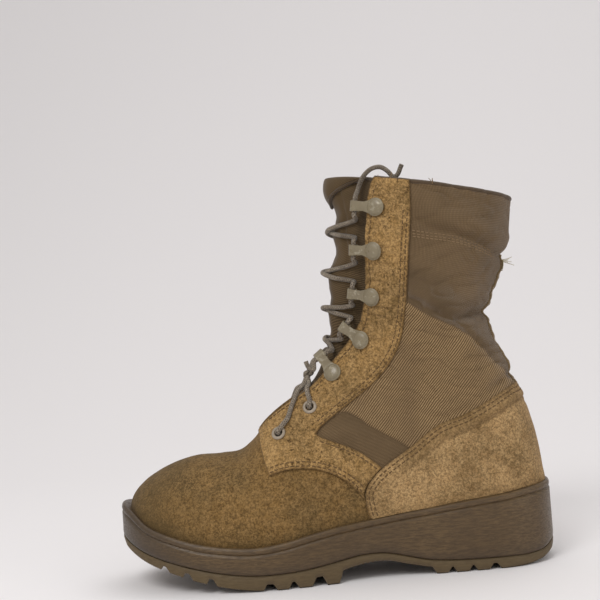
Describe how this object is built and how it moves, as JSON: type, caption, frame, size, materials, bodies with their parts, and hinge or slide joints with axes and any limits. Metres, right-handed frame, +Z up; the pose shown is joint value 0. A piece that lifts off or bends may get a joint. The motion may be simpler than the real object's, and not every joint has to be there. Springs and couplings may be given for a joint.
{
  "type": "combat boot",
  "caption": "Tall lace-up combat boot, left foot, with a suede vamp and quarter, a woven shaft, speed hooks and a lugged rubber sole.",
  "frame": {"origin": "on the floor under the middle of the sole's length and width", "axes": "+X from heel to toe, +Y to the wearer's left, which is the outer side of this left boot, +Z up"},
  "size_m": [0.3, 0.1059, 0.2767],
  "materials": {
    "suede": "roughout suede, matte, mottled tan with dark stains",
    "canvas": "taupe brown woven nylon",
    "midsole": "dark taupe rubber with fine horizontal grain",
    "outsole": "olive brown rubber, worn",
    "lining": "brown woven lining",
    "metal": "khaki enamel with worn, shiny spots",
    "lace": "braided cord, grey brown with light flecks"
  },
  "bodies": {
    "root": {"outsole": "outsole", "midsole": "midsole", "insole": "lining", "upper": "suede", "tongue": "canvas", "heel_counter": "suede", "backstay": "canvas", "quarter_lateral": "suede", "quarter_medial": "suede", "eyelet_lateral_1": "metal", "eyelet_lateral_2": "metal", "eyelet_medial_1": "metal", "eyelet_medial_2": "metal", "hook_lateral_3": "metal", "hook_lateral_4": "metal", "hook_lateral_5": "metal", "hook_lateral_6": "metal", "hook_lateral_7": "metal", "hook_medial_3": "metal", "hook_medial_4": "metal", "hook_medial_5": "metal", "hook_medial_6": "metal", "hook_medial_7": "metal", "vent_1": "metal", "vent_2": "metal", "lace_cross_3": "lace", "lace_cross_4": "lace", "lace_cross_5": "lace", "lace_cross_6": "lace", "lace_low_lateral": "lace", "lace_low_medial": "lace", "lace_to_hook_medial": "lace", "lace_knot": "lace", "lace_stub": "lace", "lace_end_lateral": "lace", "lace_end_medial": "lace"}
  },
  "joints": []
}
